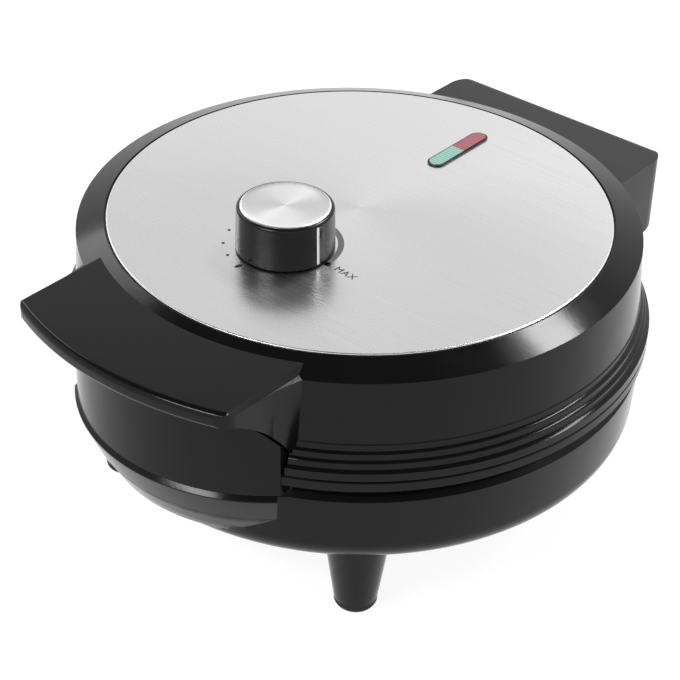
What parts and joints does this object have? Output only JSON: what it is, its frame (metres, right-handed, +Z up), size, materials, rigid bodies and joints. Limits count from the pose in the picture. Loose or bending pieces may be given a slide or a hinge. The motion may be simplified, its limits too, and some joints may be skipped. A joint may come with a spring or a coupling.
{
  "type": "electric krumkake iron",
  "caption": "Round countertop krumkake iron with a rear-hinged lid, front handle over a bulged upstand, steel top disc, temperature knob, indicator lens and tapered feet.",
  "frame": {"origin": "on the table, on the vertical axis of the round body, under the centre of the bounding box", "axes": "+Z up, -Y toward the front handle, +Y toward the hinge, +X to the right seen from the front"},
  "size_m": [0.226, 0.2732, 0.1324],
  "materials": {
    "black_gloss": "polished moulded black plastic",
    "black_satin": "satin moulded black plastic",
    "knob_black": "semi-gloss black plastic",
    "black_rubber": "matt black rubber",
    "brushed_disc": "stainless steel brushed in one direction",
    "spun_cap": "aluminium with a spun, radial sheen",
    "white_paint": "white inlaid line",
    "lens_green": "translucent green lens",
    "lens_red": "translucent red lens",
    "lamp_glass": "clear lamp capsule",
    "cast_plate": "cast aluminium with a dark non-stick coating",
    "heater_steel": "oxidised steel tube",
    "shield_alu": "mill-finish sheet",
    "zinc": "zinc-plated steel",
    "thermostat_steel": "plated steel",
    "brass_bush": "turned brass",
    "ivory_plastic": "heat-resistant ivory moulding",
    "fuse_sleeve": "woven glass sleeve"
  },
  "bodies": {
    "base": {"lower_housing": "black_gloss", "feet": "black_gloss", "foot_pads": "black_rubber", "foot_screws": "zinc", "lower_plate": "cast_plate", "lower_heater": "heater_steel", "lower_heat_shield": "shield_alu", "lower_plate_screws": "zinc", "terminal_block": "ivory_plastic", "thermal_fuse": "fuse_sleeve", "cord_gland": "black_rubber", "hinge_pin": "zinc", "pin_clips": "zinc"},
    "lid": {"upper_housing": "black_gloss", "steel_disc": "brushed_disc", "lid_handle": "black_gloss", "handle_screws": "zinc", "hinge_cover": "black_satin", "cover_screws": "zinc", "hinge_bushes": "brass_bush", "upper_plate": "cast_plate", "upper_heater": "heater_steel", "upper_heat_shield": "shield_alu", "upper_plate_screws": "zinc", "thermostat": "thermostat_steel", "thermostat_bracket": "zinc", "thermostat_nut": "zinc", "lens_frame": "black_satin", "lens_green": "lens_green", "lens_red": "lens_red", "lamp_holder": "ivory_plastic", "neon_lamps": "lamp_glass"},
    "knob": {"knob": "knob_black", "knob_cap": "spun_cap", "knob_pointer": "white_paint", "thermostat_shaft": "zinc"}
  },
  "joints": [
    {"name": "lid_hinge", "type": "hinge", "parent": "base", "child": "lid", "pos_m": [0, 0.121, 0.082], "axis": [-1, 0, 0], "range_deg": [0, 95]},
    {"name": "knob_turn", "type": "hinge", "parent": "lid", "child": "knob", "pos_m": [-0.0025, -0.0395, 0.115], "axis": [0, 0, 1], "range_deg": [-270, 0]}
  ]
}
